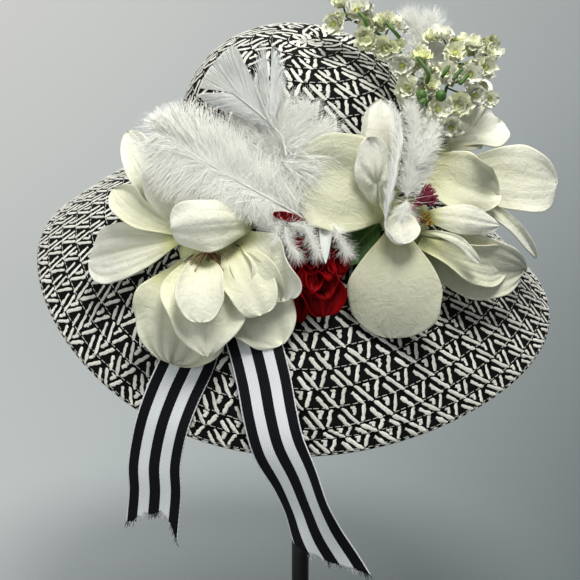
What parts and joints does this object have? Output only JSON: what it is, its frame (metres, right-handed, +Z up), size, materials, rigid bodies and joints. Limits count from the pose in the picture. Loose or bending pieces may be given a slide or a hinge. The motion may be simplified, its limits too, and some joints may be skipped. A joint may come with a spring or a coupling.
{
  "type": "wide-brim hat on a stand",
  "caption": "Wide-brim braided straw hat with fabric magnolias, a red rose, feathers, cream blossom and striped ribbon, hung tilted on a plain pole stand.",
  "frame": {"origin": "middle of the underside of the stand's round base", "axes": "+Z up along the pole, front of the hat towards -Y, +X to the right seen from the front"},
  "size_m": [0.4056, 0.395, 0.541],
  "materials": {
    "straw_braid": "black and white braided straw, matt with a slight sheen on the white strips",
    "striped_ribbon": "ribbed ribbon with black and white lengthwise stripes, low sheen",
    "ivory_petal": "pressed ivory fabric, soft satin sheen, yellow green at the foot",
    "stamen": "stiffened thread, matt brown and maroon",
    "red_satin": "deep red satin",
    "green_leaf": "printed leaf fabric, low sheen",
    "white_feather": "soft white feather, matt",
    "cream_blossom": "thin cream fabric, matt, with green stems",
    "stand_black": "black satin paint"
  },
  "bodies": {
    "root": {"crown": "straw_braid", "brim": "straw_braid", "hatband": "striped_ribbon", "ribbon_tail_left": "striped_ribbon", "ribbon_tail_right": "striped_ribbon", "magnolia_left": "ivory_petal", "magnolia_right": "ivory_petal", "magnolia_upper": "ivory_petal", "stamens_left": "stamen", "stamens_right": "stamen", "stamens_upper": "stamen", "rose": "red_satin", "rose_leaf": "green_leaf", "feather_large": "white_feather", "feather_split": "white_feather", "feather_thin": "white_feather", "feather_narrow": "white_feather", "fluff_crown": "white_feather", "fluff_rose": "white_feather", "fluff_right": "white_feather", "fluff_back": "white_feather", "blossom_spray_left": "cream_blossom", "blossom_spray_right": "cream_blossom", "stand_base": "stand_black", "stand_pole": "stand_black", "stand_pad": "stand_black"}
  },
  "joints": []
}
